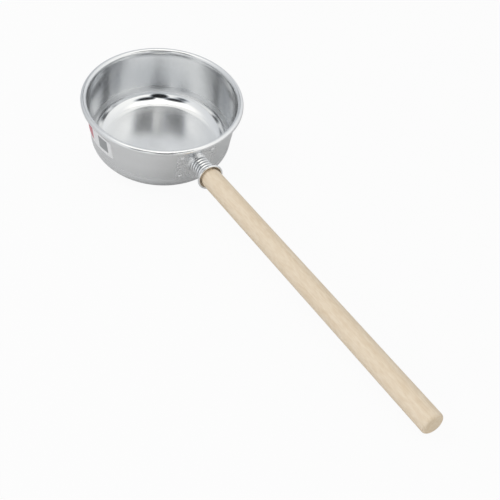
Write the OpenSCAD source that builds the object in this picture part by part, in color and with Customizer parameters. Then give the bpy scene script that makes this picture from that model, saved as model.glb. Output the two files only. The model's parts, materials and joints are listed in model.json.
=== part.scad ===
// Hishaku water dipper: a spun aluminium bowl with a curled rim, and a wooden
// handle screwed into a pressed ferrule that four rivets hold on the wall.
// The dipper is drawn upright, base down and handle towards +X, and at_rest()
// then lays it down as it lies on a table: on its base's edge and handle's end.

/* [Bowl] */
// Inner diameter of the mouth, inside the curled rim
mouth_d = 150; // [120:1:180]
// Height of the bowl, base to top of rim
bowl_h = 61.5; // [56:0.5:80]
// Diameter of the flat part of the base
base_d = 111; // [90:1:124]
// Outer radius of the round corner between base and wall
corner_r = 16; // [8:0.5:18]
// How far the round corner bulges past the line of the wall
corner_proud = 0.3; // [0.1:0.05:0.5]
// Thickness of the spun sheet
bowl_t = 1; // [0.8:0.1:1.5]
// Diameter of the curled rim
rim_d = 6; // [5:0.2:8]
// How far the curled rim stands proud of the wall, inside the mouth
rim_step = 0.5; // [0.2:0.1:1]
// Slot between the end of the curl and the wall
curl_gap = 0.5; // [0.3:0.1:0.8]

/* [Ferrule] */
// Thickness of the pressed sheet
ferrule_t = 0.9; // [0.7:0.1:1.1]
// Width of the saddle plate across the wall
plate_w = 41; // [38:0.5:50]
// Height of the saddle plate
plate_h = 37; // [34:0.5:40]
// Radius of the saddle plate's corners
plate_corner_r = 4; // [2:0.5:6]
// Gap between the underside of the rim and the plate's top edge
plate_top_gap = 1.2; // [0.6:0.1:2]
// How far above the middle of the plate the socket's axis meets the wall
socket_up = 2.2; // [0:0.1:3]
// Length of the socket, wall to lip
socket_len = 28.5; // [25:0.5:36]
// Radius of the cove between plate and socket
cove_r = 4.3; // [3:0.1:5]
// Outer diameter over the rolled thread
thread_d = 19.2; // [18:0.1:20]
// Depth of the rolled thread
thread_depth = 0.8; // [0.4:0.1:1]
// Pitch of the rolled thread
thread_pitch = 3.6; // [3:0.1:5]
// Radius of the flare that opens the mouth of the socket
flare_r = 5.5; // [4.5:0.1:6]
// Outer diameter of the lip
lip_d = 26.6; // [25.5:0.1:28]
// Thickness of the lip's curled edge
lip_bead_d = 1.8; // [1.4:0.1:2.2]

/* [Rivets] */
// Diameter of the shank
rivet_d = 3; // [2.5:0.1:3.5]
// Diameter of the heads
rivet_head_d = 4.8; // [4.4:0.1:6]
// Height of the domed head outside
rivet_head_h = 1.2; // [0.8:0.1:1.6]
// Height of the set head inside the bowl
rivet_set_h = 0.6; // [0.4:0.1:1]
// Distance from the plate's sides to the middle of the rivets
rivet_side = 4.9; // [4:0.1:5.5]
// Distance from the plate's top and bottom edges to the middle of the rivets
rivet_end = 5.5; // [4.5:0.1:6.5]

/* [Handle] */
// Diameter of the wooden rod
handle_d = 20; // [18:0.5:22]
// Length of the whole rod, with the tenon
handle_len = 363; // [250:1:450]
// Angle at which the handle rises from the plane of the base
handle_tilt = 8; // [4:0.5:12]
// Length over which the rod narrows to its tenon
shoulder_len = 11.4; // [9:0.2:16]
// Bevel at the inner end of the tenon
tenon_bevel = 1; // [0.5:0.1:2]
// Radius of the edge at the far end
end_round = 2.5; // [1:0.1:4]

/* [Label] */
// Width of the paper label around the wall
label_w = 57; // [40:1:70]
// Height of the label
label_h = 22; // [16:0.5:24]
// Thickness of the label
label_t = 0.2; // [0.1:0.05:0.3]
// Radius of the label's corners
label_corner_r = 1.5; // [0.5:0.5:3]
// Gap between the underside of the rim and the label's top edge
label_top_gap = 5.5; // [2:0.5:9]
// Where the middle of the label lies, in degrees around the bowl from the handle
label_turn = -90; // [-120:1:-60]

/* [Clearances] */
// Gap between the wall and what lies on it, and under each rivet head
seat_gap = 0.05; // [0.02:0.01:0.1]
// Radial gap between the tenon and the crests of the thread
tenon_fit = 0.05; // [0.03:0.01:0.1]
// Radial gap between a rivet's shank and its hole
rivet_fit = 0.05; // [0.03:0.01:0.1]
// Gap between the wall and the inner end of the tenon, on the axis
tenon_gap = 3.5; // [3:0.1:6]

/* [Hidden] */
$fn = 96;

// Curled rim: radius of the roll, of its hollow, and the place of its middle
rim_r = rim_d / 2;
hollow_r = rim_r - bowl_t;
rim_x = mouth_d / 2 + rim_r;
rim_z = bowl_h - rim_r;

// The wall's outer face is the line from the underside of the rim that passes
// just inside the corner circle, so the taper follows from the other sizes
corner_x = base_d / 2;
corner_in = corner_r - corner_proud;
wall_top_x = mouth_d / 2 + rim_step + bowl_t;
wall_dx = wall_top_x - corner_x;
wall_dz = bowl_h - rim_d - corner_r;
wall_taper = atan2(wall_dx, wall_dz) - asin(corner_in / norm([wall_dx, wall_dz]));
wall_out = [cos(wall_taper), -sin(wall_taper)];
wall_foot = [corner_x, corner_r] + corner_in * wall_out;
// Radius of the wall's outer face at height z
function wall_at(z) = wall_foot.x + (z - wall_foot.y) * tan(wall_taper);
// Point of the bowl's section at height z, a distance out from the wall's outer face
function off_wall(z, out) = [wall_at(z), z] + out * wall_out;

// Plate, rivets and label hang from the underside of the rim
plate_z = bowl_h - rim_d - plate_top_gap - plate_h / 2;
rivet_span = plate_w - 2 * rivet_side;
rivet_rise = plate_h - 2 * rivet_end;
label_z = bowl_h - rim_d - label_top_gap - label_h / 2;

// Socket: height of the thread's waves, and mean radii of the threaded tube
socket_z = plate_z + socket_up;
thread_wave = thread_depth / 2;
tube_r = thread_d / 2 - thread_wave;
tube_in_r = tube_r - ferrule_t;
// The smooth parts lap over the threaded tube's ends by this much
lap = 0.05;
lap_len = 0.8;
collar_r = tube_r + lap;
collar_in_r = tube_in_r - lap;
collar_t = collar_r - collar_in_r;
lip_bead_r = lip_bead_d / 2;
flare_mid_r = flare_r + collar_t / 2;
flare_x = collar_r + flare_r;
flare_turn = acos((flare_x - lip_d / 2 + lip_bead_r) / flare_mid_r);
flare_s = socket_len - lip_bead_r - flare_mid_r * sin(flare_turn);
plate_out = seat_gap + ferrule_t;
plate_mid = seat_gap + ferrule_t / 2;
// Depth to which the foot of the cove is sunk in the plate
cove_sink = ferrule_t / 3;

// Handle: radii, and where it ends along the socket's axis
handle_r = handle_d / 2;
tenon_r = tube_in_r - thread_wave - tenon_fit;
handle_end = tenon_gap + handle_len;

// Grid of the threaded tube: points around, rows in the cove and rows along the thread
around = 40;
cove_rows = 6;
thread_rows = 42;

// Rest pose: the corner's circle and the round edge of the handle's end both
// touch the table, and the middle of the whole length comes to the origin
function on_axis(s, down) = [
    wall_at(socket_z) + s * cos(handle_tilt) + down * sin(handle_tilt),
    socket_z + s * sin(handle_tilt) - down * cos(handle_tilt)
];
end_low = on_axis(handle_end - end_round, handle_r - end_round);
end_high = on_axis(handle_end - end_round, end_round - handle_r);
rest_run = end_low - [corner_x, corner_r];
rest_lean = asin((corner_r - end_round) / norm(rest_run)) - atan2(-rest_run.y, rest_run.x);
function leant_x(p) = p.x * cos(rest_lean) + p.y * sin(rest_lean);
rest_back = leant_x([-rim_x, rim_z]) - rim_r;
rest_front = max(leant_x(end_low), leant_x(end_high)) + end_round;
rest_lift = corner_r + corner_x * sin(rest_lean) - corner_r * cos(rest_lean);

// Lays the upright dipper down on the table
module at_rest() {
    translate([-(rest_back + rest_front) / 2, 0, rest_lift])
        rotate([0, rest_lean, 0]) children();
}

// Puts a child, drawn with its axis along +Z, on the socket's axis
module on_socket() {
    translate([wall_at(socket_z), 0, socket_z])
        rotate([0, 90 - handle_tilt, 0]) children();
}

// Puts a child on the wall's outer face, with its +Z pointing straight out of it
module on_wall(turn, z) {
    rotate([0, 0, turn]) translate([wall_at(z), 0, z])
        rotate([0, 90 + wall_taper, 0]) children();
}

// A rectangle about the origin with round corners
module round_rect(w, h, r) {
    square([w - 2 * r, h], center = true);
    square([w, h - 2 * r], center = true);
    for (x = [-1, 1], y = [-1, 1])
        translate([x * (w / 2 - r), y * (h / 2 - r)]) circle(r);
}

// A sheet that hugs the wall, with round corners, its middle at height z
module wall_sheet(w, h, r, t, z) {
    low = z - h / 2;
    high = z + h / 2;
    half_turn = asin(w / 2 / wall_at(low)) + 2;
    intersection() {
        rotate_extrude(angle = 2 * half_turn, start = -half_turn)
            polygon([
                off_wall(low - 1, seat_gap), off_wall(low - 1, seat_gap + t),
                off_wall(high + 1, seat_gap + t), off_wall(high + 1, seat_gap)
            ]);
        translate([0, 0, z]) rotate([90, 0, 90])
            linear_extrude(2 * wall_at(high)) round_rect(w, h, r);
    }
}

// Holds its children at the place of each rivet
module each_rivet() {
    for (side = [-1, 1], up = [-1, 1])
        let (z = plate_z + up * rivet_rise / 2)
            on_wall(side * asin(rivet_span / 2 / wall_at(z)), z) children();
}

// The filled section of the bowl up to the rim, drawn in by an inset
module pan_section(inset) {
    inset_x = inset / cos(wall_taper);
    translate([0, inset]) square([corner_x, bowl_h / 2]);
    translate([corner_x, corner_r]) intersection() {
        circle(corner_r - inset);
        translate([0, -corner_r]) square(2 * corner_r);
    }
    polygon([
        [0, corner_r], [wall_at(corner_r) - inset_x, corner_r],
        [wall_at(rim_z + inset) - inset_x, rim_z + inset], [0, rim_z + inset]
    ]);
}

// The section of the sheet: flat base, round corner, tapered wall, and a rim
// curled outwards whose edge stops just short of the wall
module bowl_section() {
    slot_low = off_wall(bowl_h - rim_d - bowl_t, 0);
    slot_high = off_wall(rim_z - hollow_r / 2, 0);
    difference() {
        union() {
            difference() {
                pan_section(0);
                pan_section(bowl_t);
            }
            translate([rim_x, rim_z]) circle(rim_r);
        }
        translate([rim_x, rim_z]) circle(hollow_r);
        polygon([
            slot_low, slot_low + curl_gap * wall_out,
            slot_high + curl_gap * wall_out, slot_high
        ]);
    }
}

module bowl() {
    color("#c4c6c8") at_rest() difference() {
        rotate_extrude() bowl_section();
        each_rivet() cylinder(r = rivet_d / 2 + rivet_fit, h = 6 * bowl_t, center = true);
    }
}

// Distance along the socket's axis at which a point at radius rho and angle phi
// meets the cone that lies a distance out from the wall's outer face
function seat_s(rho, phi, out) =
    let (a = wall_at(socket_z) + rho * cos(phi) * sin(handle_tilt),
         y = rho * sin(phi),
         m = wall_at(socket_z - rho * cos(phi) * cos(handle_tilt)) + out / cos(wall_taper),
         k = sin(handle_tilt) * tan(wall_taper),
         qa = pow(cos(handle_tilt), 2) - k * k,
         qb = a * cos(handle_tilt) - m * k,
         qc = a * a + y * y - m * m)
    (sqrt(qb * qb - qa * qc) - qb) / qa;

function tube_point(rho, phi, s) = [rho * cos(phi), rho * sin(phi), s];
function ease(t) = let (u = min(max(t, 0), 1)) u * u * (3 - 2 * u);
// Where the cove runs into the tube, at angle phi
function cove_end(phi) = seat_s(tube_r, phi, plate_out) + cove_r - cove_sink;
// Height of the single-start right-hand thread, which fades out at both ends
function wave(phi, s) =
    thread_wave * cos(360 * s / thread_pitch - phi)
    * ease(2 * (s - cove_end(phi)) / thread_pitch)
    * ease(2 * (flare_s - lap_len - s) / thread_pitch);
function row_s(phi, row) =
    cove_end(phi) + (flare_s - lap_len / 2 - cove_end(phi)) * row / thread_rows;

// The drawn and threaded tube, as rings of points: up the cove and the outside
// of the thread, then down the inside
module threaded_tube() {
    turns = [for (i = [0 : around - 1]) 360 * i / around];
    cove = [
        for (row = [0 : cove_rows - 1])
        let (b = 90 * row / cove_rows, rho = tube_r + cove_r * (1 - sin(b)))
        [for (phi = turns) tube_point(rho, phi,
            seat_s(rho, phi, plate_out) + cove_r * (1 - cos(b)) - cove_sink)]
    ];
    outside = [
        for (row = [0 : thread_rows])
        [for (phi = turns) let (s = row_s(phi, row))
            tube_point(tube_r + wave(phi, s), phi, s)]
    ];
    inside = [
        for (row = [thread_rows : -1 : 0])
        [for (phi = turns) let (s = row_s(phi, row))
            tube_point(tube_in_r + wave(phi, s), phi, s)]
    ];
    root = [[for (phi = turns)
        tube_point(tube_in_r, phi, seat_s(tube_in_r, phi, plate_mid))]];
    rings = concat(cove, outside, inside, root);
    count = len(rings);
    polyhedron(
        points = [for (ring = rings) each ring],
        faces = [
            for (i = [0 : count - 1], j = [0 : around - 1])
            let (a = i * around, b = ((i + 1) % count) * around, k = (j + 1) % around)
            each [[a + j, b + j, b + k], [a + j, b + k, a + k]]
        ]
    );
}

// The smooth mouth of the socket: collar, flare and curled edge
module lip() {
    rotate_extrude() {
        translate([collar_in_r, flare_s - lap_len]) square([collar_t, lap_len]);
        intersection() {
            translate([flare_x, flare_s]) difference() {
                circle(flare_r + collar_t);
                circle(flare_r);
            }
            translate([flare_x, flare_s])
                polygon([
                    [0, 0], [-2 * flare_x, 0], [-2 * flare_x, 2 * flare_x],
                    2 * flare_x * [-cos(flare_turn), sin(flare_turn)]
                ]);
        }
        translate([lip_d / 2 - lip_bead_r, socket_len - lip_bead_r]) circle(lip_bead_r);
    }
}

module ferrule() {
    color("#d3d5d6") at_rest() {
        difference() {
            wall_sheet(plate_w, plate_h, plate_corner_r, ferrule_t, plate_z);
            on_socket() cylinder(r = collar_in_r, h = 4 * cove_r + plate_h, center = true);
            each_rivet()
                cylinder(r = rivet_d / 2 + rivet_fit, h = 8 * ferrule_t, center = true);
        }
        on_socket() {
            threaded_tube();
            lip();
        }
    }
}

// A domed head on a disc, its flat side at the origin
module rivet_head(h) {
    dome_h = h * 0.8;
    dome_r = (pow(rivet_head_d / 2, 2) + dome_h * dome_h) / (2 * dome_h);
    intersection() {
        translate([0, 0, h - dome_r]) sphere(dome_r);
        cylinder(d = rivet_head_d, h = h);
    }
}

module rivets() {
    color("#dcdddd") at_rest() each_rivet() {
        translate([0, 0, plate_out + seat_gap]) rivet_head(rivet_head_h);
        translate([0, 0, -bowl_t - seat_gap]) {
            cylinder(d = rivet_d, h = bowl_t + plate_out + 2 * seat_gap);
            mirror([0, 0, 1]) rivet_head(rivet_set_h);
        }
    }
}

module handle() {
    shoulder_s = flare_s + shoulder_len;
    color("#e8d5b8") at_rest() on_socket() rotate_extrude() {
        polygon([
            [0, tenon_gap], [tenon_r - tenon_bevel, tenon_gap],
            [tenon_r, tenon_gap + tenon_bevel], [tenon_r, flare_s],
            [handle_r, shoulder_s], [handle_r, handle_end - end_round],
            [handle_r - end_round, handle_end - end_round],
            [handle_r - end_round, handle_end], [0, handle_end]
        ]);
        translate([handle_r - end_round, handle_end - end_round]) intersection() {
            circle(end_round);
            square(end_round);
        }
    }
}

module label() {
    color("#f2f0ee") at_rest() rotate([0, 0, label_turn])
        wall_sheet(label_w, label_h, label_corner_r, label_t, label_z);
}

bowl();
ferrule();
rivets();
handle();
label();
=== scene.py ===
import json
import math

import bpy
from mathutils import Matrix, Vector, noise


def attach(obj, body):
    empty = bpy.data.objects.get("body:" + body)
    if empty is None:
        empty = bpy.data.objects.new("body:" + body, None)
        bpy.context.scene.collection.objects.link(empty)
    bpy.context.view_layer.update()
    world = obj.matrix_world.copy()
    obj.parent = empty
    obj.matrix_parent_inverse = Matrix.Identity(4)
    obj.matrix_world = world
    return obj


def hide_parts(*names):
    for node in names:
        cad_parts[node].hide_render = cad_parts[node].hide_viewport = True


bl_info = {
    "name": "Water Dipper",
    "version": (1, 0, 0),
    "blender": (4, 5, 0),
    "location": "3D View > Sidebar > Dipper",
    "description": "Models a spun aluminium water dipper with a wooden handle, piece by piece",
    "category": "Add Mesh",
}

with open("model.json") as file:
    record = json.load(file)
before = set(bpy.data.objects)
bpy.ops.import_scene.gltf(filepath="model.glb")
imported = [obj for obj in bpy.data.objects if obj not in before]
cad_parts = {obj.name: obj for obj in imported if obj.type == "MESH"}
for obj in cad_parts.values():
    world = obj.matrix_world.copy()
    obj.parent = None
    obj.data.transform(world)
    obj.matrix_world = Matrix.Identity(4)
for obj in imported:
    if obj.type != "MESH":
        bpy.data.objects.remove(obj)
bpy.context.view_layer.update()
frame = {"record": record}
MM = 0.001
# Points closer than about this lie in the same place
HAIR = 0.001 * MM

# The dipper is modelled upright, base down and handle towards +X, and is then
# laid down as it rests. The mount on its base says where that base lies.
MOUNTS = {mount["name"]: mount for mount in frame["record"]["mounts"]}
BASE_AT = Vector(MOUNTS["base_rest"]["pos_m"])
BOWL_UP = -Vector(MOUNTS["base_rest"]["axis"])
LEAN = math.atan2(BOWL_UP.x, BOWL_UP.z)
AT_REST = Matrix.Translation(BASE_AT) @ Matrix.Rotation(LEAN, 4, "Y")
SHAFT_AXIS = Vector(MOUNTS["handle_shaft"]["axis"])
TILT = math.atan2(SHAFT_AXIS.z, SHAFT_AXIS.x) + LEAN


def from_hex(code):
    """An sRGB colour such as #c0ffee as linear red, green and blue."""
    parts = [int(code[i : i + 2], 16) / 255 for i in (1, 3, 5)]
    return [p / 12.92 if p <= 0.04045 else ((p + 0.055) / 1.055) ** 2.4 for p in parts]


def size(name, description, millimetres):
    """A length that the user can change."""
    return bpy.props.FloatProperty(
        name=name, description=description, default=millimetres * MM,
        min=0.0, unit="LENGTH", subtype="DISTANCE", precision=5,
    )


def tone(name, description, code):
    """A colour that the user can change."""
    return bpy.props.FloatVectorProperty(
        name=name, description=description, default=from_hex(code),
        size=3, min=0.0, max=1.0, subtype="COLOR",
    )


class BowlSettings(bpy.types.PropertyGroup):
    mouth: size("Mouth", "Inner diameter of the mouth, inside the curled rim", 150)
    height: size("Height", "Height of the bowl, base to top of rim", 61.5)
    base: size("Base", "Diameter of the flat part of the base", 111)
    corner: size("Corner", "Outer radius of the corner between base and wall", 16)
    proud: size("Corner bulge", "How far the corner bulges past the line of the wall", 0.3)
    sheet: size("Sheet", "Thickness of the spun sheet", 1)
    rim: size("Rim", "Diameter of the curled rim", 6)
    rim_step: size("Rim step", "How far the rim stands proud inside the mouth", 0.5)
    colour: tone("Metal", "Colour of the spun aluminium", "#f0f1f2")


class FerruleSettings(bpy.types.PropertyGroup):
    sheet: size("Sheet", "Thickness of the pressed sheet", 0.9)
    plate_width: size("Plate width", "Width of the saddle plate across the wall", 41)
    plate_height: size("Plate height", "Height of the saddle plate", 37)
    plate_corner: size("Plate corners", "Radius of the saddle plate's corners", 4)
    plate_middle: size("Plate middle", "Height of the plate's middle over the base", 35.8)
    socket_height: size("Socket height", "Height at which the socket leaves the wall", 38)
    socket_length: size("Socket length", "Length of the socket, wall to lip", 28.5)
    cove: size("Cove", "Radius of the cove between plate and socket", 2.0)
    thread: size("Thread", "Outer diameter over the rolled thread", 19.2)
    thread_depth: size("Thread depth", "Depth of the rolled thread", 0.8)
    thread_pitch: size("Thread pitch", "Pitch of the rolled thread", 3.6)
    flare: size("Flare", "Radius of the flare at the socket's mouth", 5.5)
    lip: size("Lip", "Outer diameter of the lip", 26.6)
    bead: size("Curled edge", "Thickness of the lip's curled edge", 2.3)
    seat: size("Seat gap", "Gap between the wall and what lies on it", 0.05)
    colour: tone("Metal", "Colour of the pressed aluminium", "#f1f2f3")
    # Painted shade: a grey that darkens the rolled thread's grooves, where shade falls
    groove_shade: tone("Groove_shade", "Colour of the grey film in the thread's grooves", "#9b9ea2")


class RivetSettings(bpy.types.PropertyGroup):
    shank: size("Shank", "Diameter of the shank", 3)
    head: size("Head", "Diameter of the heads", 4.8)
    dome: size("Dome", "Height of the domed head outside", 1.2)
    set_head: size("Set head", "Height of the set head inside the bowl", 0.6)
    span: size("Span", "Distance between the two columns of rivets", 31.2)
    rise: size("Rise", "Distance between the upper and lower rivets", 26)
    colour: tone("Metal", "Colour of the rivets", "#f5f6f7")


class HandleSettings(bpy.types.PropertyGroup):
    diameter: size("Diameter", "Diameter of the wooden rod", 20)
    length: size("Length", "Length of the whole rod, with the tenon", 363)
    shoulder: size("Shoulder", "Length over which the rod narrows to its tenon", 11.4)
    tenon: size("Tenon", "Diameter of the tenon", 15.7)
    tenon_length: size("Tenon length", "Length of the tenon, up to the shoulder", 18.58)
    tenon_gap: size("Tenon gap", "Gap between the wall and the tenon's inner end", 3.5)
    bevel: size("Tenon bevel", "Bevel at the inner end of the tenon", 1)
    end_round: size("End rounding", "Radius of the edge at the far end", 2.5)
    band: size("Grain bands", "Distance between the broad bands of the grain", 10.68)
    colour: tone("Wood", "Colour of the pale early wood", "#f0e0c9")
    late: tone("Grain", "Colour of the darker late wood", "#e2ceb2")
    cut: tone("End grain", "Colour of the end grain", "#d3bd95")


class LabelSettings(bpy.types.PropertyGroup):
    width: size("Width", "Width of the paper label", 57)
    height: size("Height", "Height of the label", 22)
    thickness: size("Thickness", "Thickness of the label", 0.2)
    corner: size("Corners", "Radius of the label's corners", 1.5)
    middle: size("Middle", "Height of the label's middle over the base", 39)
    turn: bpy.props.FloatProperty(
        name="Turn", description="Where the label lies around the bowl from the handle",
        default=math.radians(-90), subtype="ANGLE", unit="ROTATION",
    )
    colour: tone("Paper", "Colour of the paper", "#f8f8f9")
    first: tone("Wide panel", "Colour of the wide printed panel", "#cf6f7d")
    second: tone("Narrow panel", "Colour of the narrow printed panel", "#9a9c9e")


class StageSettings(bpy.types.PropertyGroup):
    floor: size("Floor", "Width of the floor", 8000)
    paper: tone("Paper", "Colour of the floor", "#d4d4d4")
    lens: bpy.props.FloatProperty(
        name="Lens", description="Focal length for a sensor 36 mm wide",
        default=70.506, unit="CAMERA",
    )
    camera: bpy.props.FloatVectorProperty(
        name="Camera", description="Place of the camera",
        default=(0.60260, -0.36352, 0.55955), unit="LENGTH", subtype="XYZ",
    )
    aim: bpy.props.FloatVectorProperty(
        name="Aim", description="Direction in which the camera looks",
        default=(-0.67202, 0.40025, -0.62304), subtype="DIRECTION",
    )


# Modelling


def start_edit(piece):
    """Selects that piece alone and opens it in edit mode."""
    bpy.ops.object.select_all(action="DESELECT")
    piece.select_set(True)
    bpy.context.view_layer.objects.active = piece
    bpy.ops.object.mode_set(mode="EDIT")


def end_edit():
    bpy.ops.object.mode_set(mode="OBJECT")


def turn_on_lathe(name, section, steps, closed):
    """Draws a section of (radius, height) points, one extrusion each, and spins it around Z."""
    bpy.ops.object.select_all(action="DESELECT")
    bpy.ops.mesh.primitive_plane_add(size=MM)
    piece = bpy.context.object
    piece.name = piece.data.name = name
    start_edit(piece)
    bpy.ops.mesh.select_all(action="SELECT")
    bpy.ops.mesh.merge(type="CENTER")
    bpy.ops.transform.translate(value=(section[0][0], 0, section[0][1]))
    for here, after in zip(section, section[1:]):
        step = (after[0] - here[0], 0, after[1] - here[1])
        bpy.ops.mesh.extrude_vertices_move(TRANSFORM_OT_translate={"value": step})
    if closed:
        end_edit()
        points = piece.data.vertices
        points[0].select = points[len(points) - 1].select = True
        start_edit(piece)
        bpy.ops.mesh.edge_face_add()
    bpy.ops.mesh.select_all(action="SELECT")
    bpy.ops.mesh.spin(steps=steps, angle=math.tau, center=(0, 0, 0), axis=(0, 0, 1))
    bpy.ops.mesh.select_all(action="SELECT")
    bpy.ops.mesh.remove_doubles(threshold=2 * HAIR)
    bpy.ops.mesh.normals_make_consistent(inside=False)
    end_edit()
    return piece


def use_modifier(piece, kind, **settings):
    """Adds a modifier to the piece and applies it."""
    bpy.context.view_layer.objects.active = piece
    modifier = piece.modifiers.new(kind.title(), kind)
    for name, value in settings.items():
        setattr(modifier, name, value)
    bpy.ops.object.modifier_apply(modifier=modifier.name)


def finish_piece(piece, place, material, node, crease=35):
    """Lays the piece in its place, smooths it and lets it stand for its CAD node."""
    piece.data.transform(place)
    bpy.ops.object.select_all(action="DESELECT")
    piece.select_set(True)
    bpy.context.view_layer.objects.active = piece
    bpy.ops.object.shade_smooth_by_angle(angle=math.radians(crease))
    piece.data.materials.clear()
    piece.data.materials.append(material)
    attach(piece, "root")
    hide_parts(node)


def arc(middle, radius, start, end, count):
    """Points on a circle from one angle to another, in degrees."""
    angles = [math.radians(start + (end - start) * i / count) for i in range(count + 1)]
    return [
        (middle[0] + radius * math.cos(a), middle[1] + radius * math.sin(a)) for a in angles
    ]


def line(start, end, count):
    """Points along a straight line, its end left out."""
    return [
        (start[0] + (end[0] - start[0]) * i / count, start[1] + (end[1] - start[1]) * i / count)
        for i in range(count)
    ]


class Wall:
    """The tapered wall of the bowl, which all that is fixed to it follows."""

    def __init__(self, bowl):
        self.corner_at = (bowl.base / 2, bowl.corner)
        inside = bowl.corner - bowl.proud
        top = bowl.mouth / 2 + bowl.rim_step + bowl.sheet
        run = top - self.corner_at[0]
        rise = bowl.height - bowl.rim - bowl.corner
        self.taper = math.atan2(run, rise) - math.asin(inside / math.hypot(run, rise))
        self.foot = (
            self.corner_at[0] + inside * math.cos(self.taper),
            self.corner_at[1] - inside * math.sin(self.taper),
        )

    def radius(self, z, out=0.0):
        """Radius of the wall's outer face at a height, or of a face that far out from it."""
        slope = (z - self.foot[1]) * math.tan(self.taper)
        return self.foot[0] + slope + out / math.cos(self.taper)

    def place(self, turn, z):
        """On the outer face, with +Z straight out of it."""
        return (
            Matrix.Rotation(turn, 4, "Z")
            @ Matrix.Translation((self.radius(z), 0, z))
            @ Matrix.Rotation(math.pi / 2 + self.taper, 4, "Y")
        )


def socket_place(wall, height):
    """Where the socket's axis leaves the wall, with +Z along it."""
    return Matrix.Translation((wall.radius(height), 0, height)) @ Matrix.Rotation(
        math.pi / 2 - TILT, 4, "Y"
    )


# Materials


def add_node(tree, kind, inputs=None, **settings):
    """Adds a node with its settings, and sets or links each input that is given."""
    node = tree.nodes.new(kind)
    for name, value in settings.items():
        setattr(node, name, value)
    for key, value in (inputs or {}).items():
        if isinstance(value, bpy.types.NodeSocket):
            tree.links.new(value, node.inputs[key])
        else:
            node.inputs[key].default_value = value
    return node


def new_material(name):
    """An empty material with its output, and the node tree to fill."""
    material = bpy.data.materials.new(name)
    material.use_nodes = True
    material.node_tree.nodes.clear()
    output = material.node_tree.nodes.new("ShaderNodeOutputMaterial")
    return material, material.node_tree, output


def opaque(colour):
    return (*colour, 1.0)


def turned_about(tree, place, axis_at):
    """The point as the lathe sees it: its place, its distance from the axis
    and its height along it."""
    location, rotation, _ = axis_at.decompose()
    point = add_node(
        tree, "ShaderNodeMapping",
        {"Vector": place, "Location": location, "Rotation": rotation.to_euler()},
        vector_type="TEXTURE",
    ).outputs[0]
    axes = add_node(tree, "ShaderNodeSeparateXYZ", {0: point})
    flat = add_node(tree, "ShaderNodeCombineXYZ", {0: axes.outputs["X"], 1: axes.outputs["Y"]})
    radius = add_node(tree, "ShaderNodeVectorMath", {0: flat.outputs[0]}, operation="LENGTH")
    return point, radius.outputs["Value"], axes.outputs["Z"]


def spun_aluminium(bowl):
    """Aluminium sheet spun on a lathe and lightly polished: satin, with fine
    grooves around the axis that draw each reflection out across them."""
    material, tree, output = new_material("spun_aluminium")
    place = add_node(tree, "ShaderNodeTexCoord").outputs["Object"]
    upright, radius, height = turned_about(tree, place, AT_REST)
    rings = add_node(tree, "ShaderNodeCombineXYZ", {0: radius, 1: height})
    # The grooves of the spinning tool, about 0.6 mm apart
    grooves = add_node(
        tree, "ShaderNodeTexNoise",
        {"Vector": rings.outputs[0], "Scale": 1 / (0.6 * MM), "Detail": 3.0, "Roughness": 0.6},
    )
    # Faint bands some 6 mm wide, where the tool pressed harder
    bands = add_node(
        tree, "ShaderNodeTexNoise",
        {"Vector": rings.outputs[0], "Scale": 1 / (6 * MM), "Detail": 2.0},
    )
    # Clouds some 25 mm across, from handling and wiping
    clouds = add_node(
        tree, "ShaderNodeTexNoise",
        {"Vector": upright, "Scale": 1 / (25 * MM), "Detail": 3.0},
    )
    marks = add_node(
        tree, "ShaderNodeMath", {0: bands.outputs["Fac"], 1: clouds.outputs["Fac"]},
        operation="ADD",
    )
    # The marks turn the satin a little rougher and a little darker
    roughness, shade = (
        add_node(
            tree, "ShaderNodeMapRange",
            {"Value": marks.outputs[0], "From Min": 0.7, "From Max": 1.3,
             "To Min": least, "To Max": most},
        ).outputs["Result"]
        for least, most in ((0.19, 0.24), (1.0, 0.95))
    )
    # The tool bore hardest on the round corner, which came out brighter than
    # the base inside it, and left it matt where it runs into the wall
    ring_low, ring_high = bowl.corner - 5 * MM, bowl.corner + 2 * MM
    past_base, below_ring, past_ring, below_wall, rim = (
        add_node(
            tree, "ShaderNodeMapRange",
            {"Value": value, "From Min": edge - blur, "From Max": edge + blur},
            interpolation_type="SMOOTHSTEP",
        ).outputs["Result"]
        for value, edge, blur in (
            (radius, bowl.base / 2, 2 * MM),
            (height, ring_low, -1 * MM), (height, ring_low, 1 * MM),
            (height, ring_high, -1 * MM), (height, bowl.height - bowl.rim, 1 * MM),
        )
    )
    burnished, matt = (
        add_node(tree, "ShaderNodeMath", {0: one, 1: other}, operation="MULTIPLY").outputs[0]
        for one, other in ((past_base, below_ring), (past_ring, below_wall))
    )
    for where, level in ((burnished, 0.12), (matt, 0.34), (rim, 0.22)):
        roughness = add_node(
            tree, "ShaderNodeMix", {"Factor": where, "A": roughness, "B": level},
            data_type="FLOAT",
        ).outputs["Result"]
    colour = add_node(
        tree, "ShaderNodeVectorMath", {0: bowl.colour, "Scale": shade}, operation="SCALE"
    )
    relief = add_node(
        tree, "ShaderNodeBump",
        {"Height": grooves.outputs["Fac"], "Strength": 0.25, "Distance": 0.01 * MM},
    )
    # The grooves run around the bowl's axis
    out = add_node(
        tree, "ShaderNodeVectorMath", {0: place, 1: BASE_AT}, operation="SUBTRACT"
    )
    around = add_node(
        tree, "ShaderNodeVectorMath", {0: BOWL_UP, 1: out.outputs[0]},
        operation="CROSS_PRODUCT",
    )
    shader = add_node(
        tree, "ShaderNodeBsdfPrincipled",
        {"Base Color": colour.outputs[0], "Metallic": 1.0, "Roughness": roughness,
         "Normal": relief.outputs[0], "Anisotropic": 0.6, "Anisotropic Rotation": 0.25,
         "Tangent": around.outputs[0]},
    )
    tree.links.new(shader.outputs[0], output.inputs["Surface"])
    return material


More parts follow.
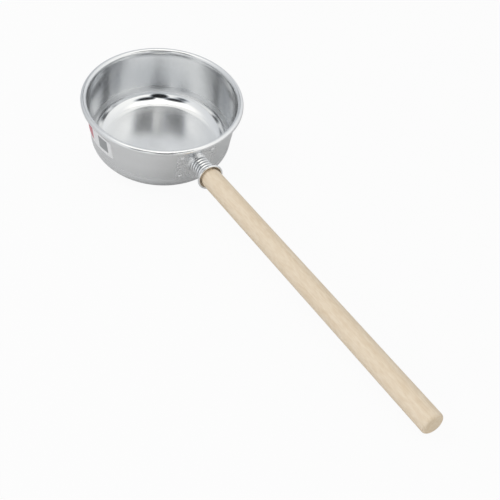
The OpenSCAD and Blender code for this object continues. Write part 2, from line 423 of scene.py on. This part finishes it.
def pressed_aluminium(name, colour, roughness, dent_depth, socket=None):
    """Aluminium pressed or headed in a die: brighter than the spun bowl, with
    no grooves, but dents and scuffs from the tool. On the ferrule's socket the
    grooves of the rolled thread get a grey painted shade that the crests don't."""
    material, tree, output = new_material(name)
    place = add_node(tree, "ShaderNodeTexCoord").outputs["Object"]
    # Dents about 3.5 mm across
    dents = add_node(
        tree, "ShaderNodeTexNoise", {"Vector": place, "Scale": 1 / (3.5 * MM), "Detail": 2.0}
    ).outputs["Fac"]
    # Scuffs about 0.7 mm across
    scuffs = add_node(
        tree, "ShaderNodeTexNoise", {"Vector": place, "Scale": 1 / (0.7 * MM), "Detail": 4.0}
    ).outputs["Fac"]
    rough = add_node(
        tree, "ShaderNodeMapRange",
        {"Value": scuffs, "From Min": 0.35, "From Max": 0.65,
         "To Min": roughness - 0.03, "To Max": roughness + 0.07},
    ).outputs["Result"]
    # The colour, and how much of the dents' depth shows
    tint, dented = opaque(colour), 0.8
    if socket:
        _, radius, height = turned_about(tree, place, socket["place"])
        # The grooves of the thread get a grey painted shade, and the crests keep the
        # metal's colour. The plate's finish reaches up the socket's collar: the die's
        # blows left it bright in one place and matt in the next.
        on_crest, on_plate, blows = (
            add_node(
                tree, "ShaderNodeMapRange",
                {"Value": value, "From Min": start, "From Max": end,
                 "To Min": least, "To Max": most},
                interpolation_type="SMOOTHSTEP",
            ).outputs["Result"]
            for value, start, end, least, most in (
                (radius, socket["groove"], socket["crest"], 0.0, 1.0),
                (height, 2 * socket["collar"], socket["collar"], 0.0, 1.0),
                (dents, 0.42, 0.58, 0.12, 0.36),
            )
        )
        tint = add_node(
            tree, "ShaderNodeMix", {"Factor": on_crest, "A": opaque(socket["groove_shade"]), "B": tint},
            data_type="RGBA",
        ).outputs["Result"]
        dented = add_node(
            tree, "ShaderNodeMapRange", {"Value": on_plate, "To Min": 0.045, "To Max": 1.0}
        ).outputs["Result"]
        groove_rough = 0.35
        rough = add_node(
            tree, "ShaderNodeMix", {"Factor": on_crest, "A": groove_rough, "B": rough},
            data_type="FLOAT",
        ).outputs["Result"]
        rough = add_node(
            tree, "ShaderNodeMix", {"Factor": on_plate, "A": rough, "B": blows},
            data_type="FLOAT",
        ).outputs["Result"]
    relief = add_node(
        tree, "ShaderNodeBump", {"Height": dents, "Strength": dented, "Distance": dent_depth}
    )
    shader = add_node(
        tree, "ShaderNodeBsdfPrincipled",
        {"Base Color": tint, "Metallic": 1.0, "Roughness": rough,
         "Normal": relief.outputs[0]},
    )
    tree.links.new(shader.outputs[0], output.inputs["Surface"])
    return material


def cypress(handle, wall, socket_height):
    """Pale cypress, turned and sanded but not oiled: straight fine grain along
    the rod in soft bands, and a slightly darker cut end."""
    material, tree, output = new_material("cypress")
    place = add_node(tree, "ShaderNodeTexCoord").outputs["Object"]
    axis_at = AT_REST @ socket_place(wall, socket_height)
    rod, _, reach = turned_about(tree, place, axis_at)
    # The rod was cut some 45 mm from the heart of the tree
    board = add_node(
        tree, "ShaderNodeMapping",
        {"Vector": rod, "Location": (0.021, 0.040, 0.0), "Rotation": (0.012, 0.008, 0.0)},
    )
    # The bands wander over 17 mm across the rod and 170 mm along it. Fibres are
    # about 0.8 mm across and 17 mm long. Flecks, a little paler or warmer, are
    # about 2 mm across and 8 mm long.
    wander, fibres, flecks = (
        add_node(
            tree, "ShaderNodeTexNoise",
            {"Vector": add_node(
                tree, "ShaderNodeMapping", {"Vector": rod, "Scale": per_metre}).outputs[0],
             "Scale": 1.0, "Detail": detail, "Roughness": rough},
        ).outputs["Fac"]
        for per_metre, detail, rough in (
            ((60.0, 60.0, 6.0), 2.0, 0.5), ((1200.0, 1200.0, 60.0), 3.0, 0.65),
            ((500.0, 500.0, 125.0), 2.0, 0.5),
        )
    )
    # A year's growth of one or two millimetres is too fine to show, so the
    # growth rings are drawn as broad bands
    shift = add_node(tree, "ShaderNodeMath", {0: wander, 1: 14.0}, operation="MULTIPLY")
    bands = add_node(
        tree, "ShaderNodeTexWave",
        {"Vector": board.outputs[0], "Scale": math.tau / (20 * handle.band),
         "Distortion": 0.0, "Phase Offset": shift.outputs[0]},
        wave_type="RINGS", rings_direction="Z", wave_profile="SAW",
    )
    late = add_node(
        tree, "ShaderNodeMapRange",
        {"Value": bands.outputs["Fac"], "From Min": 0.35, "From Max": 1.0,
         "To Min": 0.0, "To Max": 0.3},
        interpolation_type="SMOOTHSTEP",
    )
    grain, mottle = (
        add_node(
            tree, "ShaderNodeMapRange",
            {"Value": value, "From Min": start, "From Max": end,
             "To Min": least, "To Max": most},
        )
        for value, start, end, least, most in (
            (fibres, 0.3, 0.7, 0.0, 0.62), (flecks, 0.35, 0.65, -0.25, 0.3)
        )
    )
    amount = add_node(
        tree, "ShaderNodeMath", {0: late.outputs[0], 1: grain.outputs[0]}, operation="ADD"
    )
    blend = add_node(
        tree, "ShaderNodeMath", {0: amount.outputs[0], 1: mottle.outputs[0]},
        operation="ADD", use_clamp=True,
    ).outputs[0]
    # The cut pores of the end grain drink the light and look darker
    end = handle.tenon_gap + handle.length
    end_tint = 0.15
    cut = add_node(
        tree, "ShaderNodeMapRange",
        {"Value": reach, "From Min": end - 0.5 * MM, "From Max": end - 0.2 * MM,
         "To Min": 0.0, "To Max": end_tint},
        interpolation_type="SMOOTHSTEP",
    ).outputs["Result"]
    colour = opaque(handle.colour)
    for share, darker in ((blend, handle.late), (cut, handle.cut)):
        colour = add_node(
            tree, "ShaderNodeMix", {"Factor": share, "A": colour, "B": opaque(darker)},
            data_type="RGBA",
        ).outputs["Result"]
    relief = add_node(
        tree, "ShaderNodeBump", {"Height": fibres, "Strength": 0.35, "Distance": 0.04 * MM}
    )
    rough = add_node(
        tree, "ShaderNodeMapRange", {"Value": blend, "To Min": 0.52, "To Max": 0.64}
    )
    shader = add_node(
        tree, "ShaderNodeBsdfPrincipled",
        {"Base Color": colour, "Roughness": rough.outputs[0], "Normal": relief.outputs[0],
         "IOR": 1.45, "Specular IOR Level": 0.5},
    )
    tree.links.new(shader.outputs[0], output.inputs["Surface"])
    return material


def label_paper(label):
    """Coated paper, printed in two plain panels that leave a white border."""
    material, tree, output = new_material("label_paper")
    flat = add_node(tree, "ShaderNodeUVMap", uv_map="UVMap")
    axes = add_node(tree, "ShaderNodeSeparateXYZ", {0: flat.outputs[0]})

    def panel(left, right, low, high):
        """1 inside a panel, whose edges are shares of the label's width and height."""
        inside = None
        for axis, value, above in (
            ("X", left, True), ("X", right, False), ("Y", low, True), ("Y", high, False)
        ):
            edge = add_node(
                tree, "ShaderNodeMath", {0: axes.outputs[axis], 1: value},
                operation="GREATER_THAN" if above else "LESS_THAN",
            ).outputs[0]
            inside = edge if inside is None else add_node(
                tree, "ShaderNodeMath", {0: inside, 1: edge}, operation="MULTIPLY"
            ).outputs[0]
        return inside

    # Ink that covers a little unevenly, in specks about 0.8 mm across
    place = add_node(tree, "ShaderNodeTexCoord").outputs["Object"]
    specks = add_node(
        tree, "ShaderNodeTexNoise", {"Vector": place, "Scale": 1 / (0.8 * MM), "Detail": 3.0}
    )
    cover = add_node(
        tree, "ShaderNodeMapRange",
        {"Value": specks.outputs["Fac"], "From Min": 0.35, "From Max": 0.65,
         "To Min": 0.86, "To Max": 1.0},
    )
    colour = opaque(label.colour)
    for ink, edges in (
        (label.first, (0.0, 0.47, 0.14, 0.86)), (label.second, (0.68, 0.91, 0.20, 0.88))
    ):
        amount = add_node(
            tree, "ShaderNodeMath", {0: panel(*edges), 1: cover.outputs[0]},
            operation="MULTIPLY",
        )
        colour = add_node(
            tree, "ShaderNodeMix",
            {"Factor": amount.outputs[0], "A": colour, "B": opaque(ink)}, data_type="RGBA",
        ).outputs["Result"]
    shader = add_node(
        tree, "ShaderNodeBsdfPrincipled",
        {"Base Color": colour, "Roughness": 0.42, "IOR": 1.5},
    )
    tree.links.new(shader.outputs[0], output.inputs["Surface"])
    return material


# Pieces


class DIPPER_OT_bowl(bpy.types.Operator):
    """Spins the bowl with its tapered wall and its rim curled outwards"""

    bl_idname = "dipper.bowl"
    bl_label = "Bowl"

    def execute(self, context):
        bowl = context.scene.dipper_bowl
        wall = Wall(bowl)
        half = bowl.sheet / 2
        rim_r = bowl.rim / 2
        rim_at = (bowl.mouth / 2 + rim_r, bowl.height - rim_r)
        # The section runs along the middle of the sheet. The wall meets the
        # corner at a slight crease, as the spinning tool leaves it, and leans
        # in a hair where it turns into the curl.
        corner_r = bowl.corner - half
        bend = math.degrees(math.acos((corner_r - bowl.proud) / corner_r) - wall.taper)
        corner = arc(wall.corner_at, corner_r, -90, bend, 30)
        wall_top = bowl.height - bowl.rim + 0.2 * MM
        low, high = corner[-1], (wall.radius(wall_top, -half), wall_top)
        curl = arc(rim_at, rim_r - half, 196, -107, 48)
        neck = (high[0] - 0.09 * MM, (high[1] + curl[0][1]) / 2)
        section = (
            line((0, half), (wall.corner_at[0], half), 8) + corner
            + line(low, high, 14)[1:] + [high, neck] + curl
        )
        piece = turn_on_lathe("spun_bowl", section, steps=288, closed=False)
        use_modifier(piece, "SOLIDIFY", thickness=bowl.sheet, offset=0, use_even_offset=True)
        finish_piece(
            piece, AT_REST, spun_aluminium(bowl), "bowl", crease=40
        )
        return {"FINISHED"}


# The ferrule starts as a round blank. Its plate keeps a softened edge and the
# dents of the die and the hammer.
BLANK_RADIUS = 20 * MM
PLATE_EDGE = 0.35 * MM
DENT_WIDTH, DENT_DEPTH = 5 * MM, 0.3 * MM


class DIPPER_OT_ferrule(bpy.types.Operator):
    """Presses the ferrule: saddle plate, cove, rolled thread, flare and curled lip"""

    bl_idname = "dipper.ferrule"
    bl_label = "Ferrule"

    def section(self, ferrule):
        """The closed section of a round blank, before it is pressed on the wall."""
        t = ferrule.sheet
        wave = ferrule.thread_depth / 2
        tube_r = ferrule.thread / 2 - wave
        under, over = ferrule.seat, ferrule.seat + t
        cove_at = (tube_r + ferrule.cove, over + ferrule.cove)
        bead_r = ferrule.bead / 2
        bead_at = (ferrule.lip / 2 - bead_r, ferrule.socket_length - bead_r)
        middle_r = ferrule.flare + t / 2
        flare_at = (
            tube_r + ferrule.flare,
            bead_at[1] - math.sqrt(middle_r**2 - (tube_r + ferrule.flare - bead_at[0]) ** 2),
        )
        turn = math.degrees(math.acos((flare_at[0] - bead_at[0]) / middle_r))
        neck = math.degrees(math.asin(t / 2 / bead_r))
        reach = turn - math.degrees(bead_r * math.cos(math.radians(neck)) / middle_r)
        back = 270 - turn
        rim_x = BLANK_RADIUS - PLATE_EDGE
        outside = (
            arc((rim_x, over - PLATE_EDGE), PLATE_EDGE, 0, 90, 3)
            + line((rim_x, over), (cove_at[0], over), 14)[1:]
            + arc(cove_at, ferrule.cove, 270, 180, 12)
            + line((tube_r, cove_at[1]), (tube_r, flare_at[1]), 84)[1:]
            + arc(flare_at, ferrule.flare, 180, 180 - reach, 10)
            + arc(bead_at, bead_r, back + neck, back + 360 - neck, 20)[1:-1]
        )
        inside = (
            arc(flare_at, ferrule.flare + t, 180 - reach, 180, 8)
            + line((tube_r - t, flare_at[1]), (tube_r - t, cove_at[1]), 56)[1:]
            + arc(cove_at, ferrule.cove + t, 180, 270, 8)
            + line((cove_at[0], under), (rim_x, under), 5)[1:]
            + arc((rim_x, under + PLATE_EDGE), PLATE_EDGE, -90, 0, 3)[:-1]
        )
        self.tube_r, self.cove_at, self.flare_s, self.wave = tube_r, cove_at, flare_at[1], wave
        return outside + inside

    def execute(self, context):
        ferrule = context.scene.dipper_ferrule
        wall = Wall(context.scene.dipper_bowl)
        self.rivets = context.scene.dipper_rivets
        piece = turn_on_lathe(
            "pressed_ferrule", self.section(ferrule), steps=180, closed=True
        )
        on_wall = socket_place(wall, ferrule.socket_height)
        for vertex in piece.data.vertices:
            vertex.co = self.press(ferrule, wall, on_wall, vertex.co)
        # The socket's thread gets a grey painted shade in its grooves
        socket = {
            "place": AT_REST @ on_wall, "groove_shade": ferrule.groove_shade,
            "crest": self.tube_r + 0.2 * self.wave, "groove": self.tube_r - self.wave,
            "collar": 3 * MM,
        }
        material = pressed_aluminium(
            "pressed_aluminium", ferrule.colour, 0.1, 1.1 * MM, socket
        )
        finish_piece(piece, AT_REST, material, "ferrule", crease=50)
        return {"FINISHED"}

    def press(self, ferrule, wall, on_wall, point):
        """Moves a point of the round blank to its place on the pressed ferrule."""
        radius, phi = math.hypot(point.x, point.y), math.atan2(point.y, point.x)
        foot = self.cove_at[0]
        out = min(max(point.z, 0), self.cove_at[1])
        if radius > foot + HAIR and point.z < self.cove_at[1]:
            # The plate: from the foot of the cove to its own square outline
            share = (radius - foot) / (BLANK_RADIUS - foot)
            start = self.seat(wall, on_wall, foot, phi)
            inner = on_wall @ Vector((foot * math.cos(phi), foot * math.sin(phi), start))
            edge = self.outline(ferrule, inner.y, inner.z, ferrule.socket_height)
            y = inner.y + (edge[0] - inner.y) * share
            z = inner.z + (edge[1] - inner.z) * share
            if out > ferrule.sheet / 2:
                out -= self.dent(ferrule, y, z)
            return Vector((math.sqrt(wall.radius(z, out) ** 2 - y * y), y, z))
        # The cove follows the wall, the flare and the lip stay square to the
        # socket, and the thread fades in and out over half a turn
        end = self.cove_at[1]
        share = min(max((point.z - end) / (self.flare_s - end), 0), 1)
        seat = self.seat(wall, on_wall, radius, phi)
        s = point.z + seat * (1 - share)
        if 0 < share < 1:
            cove_end = end + seat
            fade_in = self.ease(2 * (s - cove_end) / ferrule.thread_pitch)
            fade_out = self.ease(2 * (self.flare_s - s) / ferrule.thread_pitch)
            turn = math.tau * s / ferrule.thread_pitch - phi
            radius += self.wave * math.cos(turn) * fade_in * fade_out
        return on_wall @ Vector((radius * math.cos(phi), radius * math.sin(phi), s))

    def dent(self, ferrule, y, z):
        """How deep the plate's face is dented there. Around the rivets it is flat."""
        up = abs(z - ferrule.plate_middle) - self.rivets.rise / 2
        clear = math.hypot(abs(y) - self.rivets.span / 2, up) - self.rivets.head / 2
        wave = noise.noise(Vector((y, z, 0)) / DENT_WIDTH)
        return DENT_DEPTH * max(wave, 0) * self.ease(clear / MM)

    @staticmethod
    def ease(value):
        """A smooth step from 0 to 1."""
        value = min(max(value, 0), 1)
        return value * value * (3 - 2 * value)

    @staticmethod
    def seat(wall, on_wall, radius, phi):
        """How far along the socket's axis a point at that radius and angle meets the wall."""
        s = 0.0
        for _ in range(6):
            p = on_wall @ Vector((radius * math.cos(phi), radius * math.sin(phi), s))
            s += math.sqrt(wall.radius(p.z) ** 2 - p.y * p.y) - p.x
        return s

    @staticmethod
    def outline(ferrule, y, z, socket_height):
        """Where the line from the socket's middle through (y, z) crosses the plate's outline."""
        r = ferrule.plate_corner
        half = (ferrule.plate_width / 2, ferrule.plate_height / 2)
        dz, outside = z - socket_height, 60 * MM
        low, high = 0.0, outside / math.hypot(y, dz)
        for _ in range(40):
            k = (low + high) / 2
            u = max(abs(k * y) - half[0] + r, 0)
            v = max(abs(socket_height + k * dz - ferrule.plate_middle) - half[1] + r, 0)
            low, high = (k, high) if math.hypot(u, v) < r else (low, k)
        return low * y, socket_height + low * dz


class DIPPER_OT_rivets(bpy.types.Operator):
    """Turns one rivet and sets a copy of it at each corner of the ferrule's plate"""

    bl_idname = "dipper.rivets"
    bl_label = "Rivets"

    def execute(self, context):
        rivet = context.scene.dipper_rivets
        bowl, ferrule = context.scene.dipper_bowl, context.scene.dipper_ferrule
        wall = Wall(bowl)
        over = 2 * ferrule.seat + ferrule.sheet
        under = -bowl.sheet - ferrule.seat
        head_r, shank_r = rivet.head / 2, rivet.shank / 2

        def dome(height):
            """A head's section from its top to the straight fifth at its edge."""
            rise = 0.8 * height
            r = (head_r**2 + rise**2) / (2 * rise)
            reach = math.degrees(math.asin(head_r / r))
            return [(x, y + height - r) for x, y in arc((0, 0), r, 90, 90 - reach, 8)]

        section = (
            [(x, y + over) for x, y in dome(rivet.dome)]
            + [(head_r, over), (shank_r, over), (shank_r, under), (head_r, under)]
            + [(x, under - y) for x, y in reversed(dome(rivet.set_head))]
        )
        first = turn_on_lathe("rivet_1", section, steps=40, closed=False)
        material = pressed_aluminium("headed_aluminium", rivet.colour, 0.15, 0.05 * MM)
        pieces = [first]
        for i in (2, 3, 4):
            copy = first.copy()
            copy.data = first.data.copy()
            copy.name = copy.data.name = f"rivet_{i}"
            context.collection.objects.link(copy)
            pieces.append(copy)
        places = [(side, up) for side in (-1, 1) for up in (-1, 1)]
        for piece, (side, up) in zip(pieces, places):
            z = ferrule.plate_middle + up * rivet.rise / 2
            turn = side * math.asin(rivet.span / 2 / wall.radius(z))
            finish_piece(
                piece, AT_REST @ wall.place(turn, z), material, "rivets",
                crease=50,
            )
        return {"FINISHED"}


class DIPPER_OT_handle(bpy.types.Operator):
    """Turns the wooden rod, its tapered shoulder, its tenon and its rounded end"""

    bl_idname = "dipper.handle"
    bl_label = "Handle"

    def execute(self, context):
        handle, ferrule = context.scene.dipper_handle, context.scene.dipper_ferrule
        wall = Wall(context.scene.dipper_bowl)
        end = handle.tenon_gap + handle.length
        shoulder = handle.tenon_gap + handle.tenon_length + handle.shoulder
        radius, tenon_r = handle.diameter / 2, handle.tenon / 2
        bpy.ops.object.select_all(action="DESELECT")
        bpy.ops.mesh.primitive_cylinder_add(
            vertices=96, radius=radius, depth=end - shoulder,
            location=(0, 0, (end + shoulder) / 2), end_fill_type="NGON",
        )
        piece = context.object
        piece.name = piece.data.name = "wooden_rod"
        piece.data.transform(piece.matrix_world)
        piece.matrix_world = Matrix.Identity(4)

        def select_cap(z):
            for group in (piece.data.vertices, piece.data.edges, piece.data.polygons):
                for item in group:
                    item.select = False
            for face in piece.data.polygons:
                face.select = abs(face.center.z - z) < 10 * HAIR and abs(face.normal.z) > 0.9
            start_edit(piece)
            bpy.ops.mesh.select_mode(type="FACE")

        select_cap(shoulder)
        # The shoulder is turned full near the rod and falls off towards the tenon
        steps, before = 8, radius
        for i in range(1, steps + 1):
            bpy.ops.mesh.extrude_region_move(
                TRANSFORM_OT_translate={"value": (0, 0, -handle.shoulder / steps)}
            )
            after = radius - (radius - tenon_r) * (i / steps) ** 2
            bpy.ops.transform.resize(value=(after / before, after / before, 1))
            before = after
        bpy.ops.mesh.extrude_region_move(
            TRANSFORM_OT_translate={"value": (0, 0, -handle.tenon_length)}
        )
        bpy.ops.mesh.bevel(offset=handle.bevel, segments=2, affect="EDGES")
        end_edit()
        select_cap(end)
        bpy.ops.mesh.bevel(offset=handle.end_round, segments=8, affect="EDGES")
        end_edit()
        # A flat ring inside the round edge keeps the shading of the end even
        select_cap(end)
        bpy.ops.mesh.inset(thickness=2 * MM)
        end_edit()
        finish_piece(
            piece, AT_REST @ socket_place(wall, ferrule.socket_height),
            cypress(handle, wall, ferrule.socket_height), "handle", crease=20,
        )
        return {"FINISHED"}


class DIPPER_OT_label(bpy.types.Operator):
    """Cuts the paper label and lays it on the wall"""

    bl_idname = "dipper.label"
    bl_label = "Label"

    def execute(self, context):
        label, ferrule = context.scene.dipper_label, context.scene.dipper_ferrule
        wall = Wall(context.scene.dipper_bowl)
        bpy.ops.object.select_all(action="DESELECT")
        bpy.ops.mesh.primitive_plane_add(size=1)
        piece = context.object
        piece.name = piece.data.name = "paper_label"
        start_edit(piece)
        bpy.ops.mesh.select_all(action="SELECT")
        bpy.ops.transform.resize(value=(label.width, label.height, 1))
        bpy.ops.mesh.bevel(offset=label.corner, segments=5, affect="VERTICES")
        # Cuts across it every 1.5 mm, so that it can bend with the wall
        cuts = round(label.width / (1.5 * MM))
        for i in range(1, cuts):
            bpy.ops.mesh.select_all(action="SELECT")
            bpy.ops.mesh.bisect(
                plane_co=((i / cuts - 0.5) * label.width, 0, 0), plane_no=(1, 0, 0)
            )
        end_edit()
        use_modifier(piece, "SOLIDIFY", thickness=label.thickness, offset=1)
        for vertex in piece.data.vertices:
            z = label.middle + vertex.co.y
            radius = wall.radius(z, ferrule.seat + vertex.co.z)
            turn = label.turn + math.asin(vertex.co.x / radius)
            vertex.co = (radius * math.cos(turn), radius * math.sin(turn), z)
        finish_piece(piece, AT_REST, label_paper(label), "label")
        return {"FINISHED"}


class DIPPER_OT_stage(bpy.types.Operator):
    """Lays the white floor, hangs the lamps and stands the camera"""

    bl_idname = "dipper.stage"
    bl_label = "Stage"

    def execute(self, context):
        stage = context.scene.dipper_stage
        self.lay_floor(stage)
        self.hang_lamp(context, "key_light", (-0.9, -0.8, 1.5), width=1.2, watts=9.0)
        self.hang_lamp(context, "fill_light", (1.0, -0.9, 0.45), width=0.8, watts=4.0)
        self.light_room(context)
        data = bpy.data.cameras.new("camera")
        data.lens, data.sensor_width = stage.lens, 36
        data.clip_start, data.clip_end = 0.02, 50
        camera = bpy.data.objects.new("camera", data)
        camera.location = stage.camera
        camera.rotation_euler = Vector(stage.aim).to_track_quat("-Z", "Y").to_euler()
        context.collection.objects.link(camera)
        context.scene.camera = camera
        context.scene.view_settings.view_transform = "Standard"
        return {"FINISHED"}

    def lay_floor(self, stage):
        bpy.ops.object.select_all(action="DESELECT")
        bpy.ops.mesh.primitive_plane_add(size=stage.floor)
        floor = bpy.context.object
        floor.name = floor.data.name = "floor"
        material, tree, output = new_material("white_sweep")
        paper = add_node(tree, "ShaderNodeBsdfDiffuse", {"Color": opaque(stage.paper)})
        glow = add_node(tree, "ShaderNodeEmission", {"Color": (1, 1, 1, 1), "Strength": 1.0})
        # Seen by the camera the floor is as white as the background and keeps a
        # trace of the soft shadow. The metal mirrors mostly the paper's own shade.
        seen, mirrored = 0.94, 0.1
        rays = add_node(tree, "ShaderNodeLightPath")
        white = 0.0
        for ray, share in (
            ("Is Camera Ray", seen), ("Is Transmission Ray", seen), ("Is Glossy Ray", mirrored)
        ):
            part = add_node(
                tree, "ShaderNodeMath", {0: rays.outputs[ray], 1: share}, operation="MULTIPLY"
            )
            white = add_node(
                tree, "ShaderNodeMath", {0: white, 1: part.outputs[0]}, operation="MAXIMUM"
            ).outputs[0]
        mix = add_node(
            tree, "ShaderNodeMixShader", {0: white, 1: paper.outputs[0], 2: glow.outputs[0]}
        )
        tree.links.new(mix.outputs[0], output.inputs["Surface"])
        floor.data.materials.append(material)

    def hang_lamp(self, context, name, place, width, watts):
        """A soft box that lights the dipper. In the metal the room stands in for it."""
        data = bpy.data.lights.new(name, "AREA")
        data.shape, data.size, data.size_y = "RECTANGLE", width, 0.75 * width
        data.energy = watts
        lamp = bpy.data.objects.new(name, data)
        lamp.location = place
        target = Vector((-0.12, 0, 0.03))
        lamp.rotation_euler = (target - lamp.location).to_track_quat("-Z", "Y").to_euler()
        lamp.visible_glossy = False
        context.collection.objects.link(lamp)

    def light_room(self, context):
        """White behind the object, and around it the studio that the metal
        mirrors: brighter on the handle's side, with a soft box overhead, dark
        flags near the camera and a grey screen behind the bowl."""
        world = bpy.data.worlds.new("room")
        context.scene.world = world
        world.use_nodes = True
        tree = world.node_tree
        tree.nodes.clear()
        output = tree.nodes.new("ShaderNodeOutputWorld")
        way = add_node(tree, "ShaderNodeTexCoord").outputs["Generated"]
        axes = add_node(tree, "ShaderNodeSeparateXYZ", {0: way})
        turn = add_node(
            tree, "ShaderNodeMath", {0: axes.outputs["Y"], 1: axes.outputs["X"]},
            operation="ARCTAN2",
        )
        rise = add_node(tree, "ShaderNodeMath", {0: axes.outputs["Z"]}, operation="ARCSINE")
        sky = add_node(
            tree, "ShaderNodeCombineXYZ", {0: turn.outputs[0], 1: rise.outputs[0]}
        )

        def patch(middle, reach, blur):
            """1 inside an ellipse of directions, given as turn and rise in degrees."""
            inside = add_node(
                tree, "ShaderNodeMapping",
                {"Vector": sky.outputs[0],
                 "Location": [math.radians(angle) for angle in middle] + [0],
                 "Scale": [math.radians(angle) for angle in reach] + [1]},
                vector_type="TEXTURE",
            )
            far = add_node(
                tree, "ShaderNodeVectorMath", {0: inside.outputs[0]}, operation="LENGTH"
            )
            return add_node(
                tree, "ShaderNodeMapRange",
                {"Value": far.outputs["Value"], "From Min": 1 + blur, "From Max": 1 - blur},
                interpolation_type="SMOOTHSTEP",
            ).outputs["Result"]

        # Four flags draw the dark lines which make metal look like metal, and a
        # gap between them lets one bright streak through
        flags = 0.0
        for middle, reach, blur in (
            ((-20, 26), (14, 20), 0.2), ((-43, 48), (19, 12), 0.35),
            ((4, 41), (18, 13), 0.35), ((-56, 30), (9, 9), 0.9),
        ):
            flags = add_node(
                tree, "ShaderNodeMath", {0: flags, 1: patch(middle, reach, blur)},
                operation="MAXIMUM",
            ).outputs[0]
        gap = patch((-13, 62), (6, 20), 0.25)
        dark = add_node(
            tree, "ShaderNodeMath", {0: flags, 1: gap}, operation="SUBTRACT", use_clamp=True
        )
        # How bright the room is: the handle's side against the other, and the box
        side, overhead = (
            add_node(
                tree, "ShaderNodeVectorMath", {0: way, 1: towards}, operation="DOT_PRODUCT"
            ).outputs["Value"]
            for towards in ((0.90, 0.12, 0.42), (0.25, -0.07, 0.966))
        )
        level = add_node(
            tree, "ShaderNodeMapRange",
            {"Value": side, "From Min": -1, "From Max": 1, "To Min": 0.54, "To Max": 1.13},
        )
        box = add_node(
            tree, "ShaderNodeMapRange",
            {"Value": overhead, "From Min": 0.80, "From Max": 0.96,
             "To Min": 0.0, "To Max": 0.36},
            interpolation_type="SMOOTHSTEP",
        )
        level = add_node(
            tree, "ShaderNodeMath", {0: level.outputs[0], 1: box.outputs[0]}, operation="ADD"
        )
        # The grey screen gives the bowl's far wall a soft dark middle
        screen = add_node(
            tree, "ShaderNodeMath", {0: 1.0, 1: patch((165, 51), (9, 8), 0.5)},
            operation="SUBTRACT",
        )
        level = add_node(
            tree, "ShaderNodeMath", {0: level.outputs[0], 1: screen.outputs[0]},
            operation="MULTIPLY",
        )
        flag_level = 0.02
        shaded = add_node(
            tree, "ShaderNodeMix",
            {"Factor": dark.outputs[0], "A": level.outputs[0], "B": flag_level},
            data_type="FLOAT",
        ).outputs["Result"]
        rays = add_node(tree, "ShaderNodeLightPath")
        # The room lights the dipper a little less than the metal shows it
        share = add_node(
            tree, "ShaderNodeMapRange",
            {"Value": rays.outputs["Is Glossy Ray"], "To Min": 0.76, "To Max": 1.0},
        )
        strength = add_node(
            tree, "ShaderNodeMath", {0: shaded, 1: share.outputs[0]}, operation="MULTIPLY"
        )
        # The lamps are a little warm, and what they don't reach is a little cool
        warmth = add_node(
            tree, "ShaderNodeMapRange", {"Value": shaded, "From Min": 0.3, "From Max": 1.2}
        )
        cool, warm = opaque(from_hex("#eef5ff")), opaque(from_hex("#fffefa"))
        tint = add_node(
            tree, "ShaderNodeMix", {"Factor": warmth.outputs[0], "A": cool, "B": warm},
            data_type="RGBA",
        )
        room = add_node(
            tree, "ShaderNodeBackground",
            {"Color": tint.outputs["Result"], "Strength": strength.outputs[0]},
        )
        white = add_node(tree, "ShaderNodeBackground", {"Color": (1, 1, 1, 1), "Strength": 1.0})
        straight = add_node(
            tree, "ShaderNodeMath",
            {0: rays.outputs["Is Camera Ray"], 1: rays.outputs["Is Transmission Ray"]},
            operation="MAXIMUM",
        )
        mix = add_node(
            tree, "ShaderNodeMixShader",
            {0: straight.outputs[0], 1: room.outputs[0], 2: white.outputs[0]},
        )
        tree.links.new(mix.outputs[0], output.inputs["Surface"])


class DIPPER_PT_panel(bpy.types.Panel):
    """Lists the dipper's pieces in the order in which they are made"""

    bl_idname = "DIPPER_PT_panel"
    bl_label = "Water Dipper"
    bl_space_type = "VIEW_3D"
    bl_region_type = "UI"
    bl_category = "Dipper"

    def draw(self, context):
        for step in STEPS:
            self.layout.operator(step.bl_idname)
            settings = getattr(context.scene, SETTINGS_OF[step])
            column = self.layout.column(align=True)
            for name in settings.bl_rna.properties.keys():
                if name not in ("rna_type", "name"):
                    column.prop(settings, name)


GROUPS = {
    "dipper_bowl": BowlSettings,
    "dipper_ferrule": FerruleSettings,
    "dipper_rivets": RivetSettings,
    "dipper_handle": HandleSettings,
    "dipper_label": LabelSettings,
    "dipper_stage": StageSettings,
}
STEPS = (
    DIPPER_OT_bowl, DIPPER_OT_ferrule, DIPPER_OT_rivets,
    DIPPER_OT_handle, DIPPER_OT_label, DIPPER_OT_stage,
)
SETTINGS_OF = dict(zip(STEPS, GROUPS))


def register():
    for group in GROUPS.values():
        bpy.utils.register_class(group)
    for name, group in GROUPS.items():
        setattr(bpy.types.Scene, name, bpy.props.PointerProperty(type=group))
    for item in (*STEPS, DIPPER_PT_panel):
        bpy.utils.register_class(item)


def unregister():
    for item in (DIPPER_PT_panel, *reversed(STEPS)):
        bpy.utils.unregister_class(item)
    for name in GROUPS:
        delattr(bpy.types.Scene, name)
    for group in GROUPS.values():
        bpy.utils.unregister_class(group)


def main():
    register()
    bpy.ops.dipper.bowl()
    bpy.ops.dipper.ferrule()
    bpy.ops.dipper.rivets()
    bpy.ops.dipper.handle()
    bpy.ops.dipper.label()
    bpy.ops.dipper.stage()


if __name__ == "__main__":
    main()
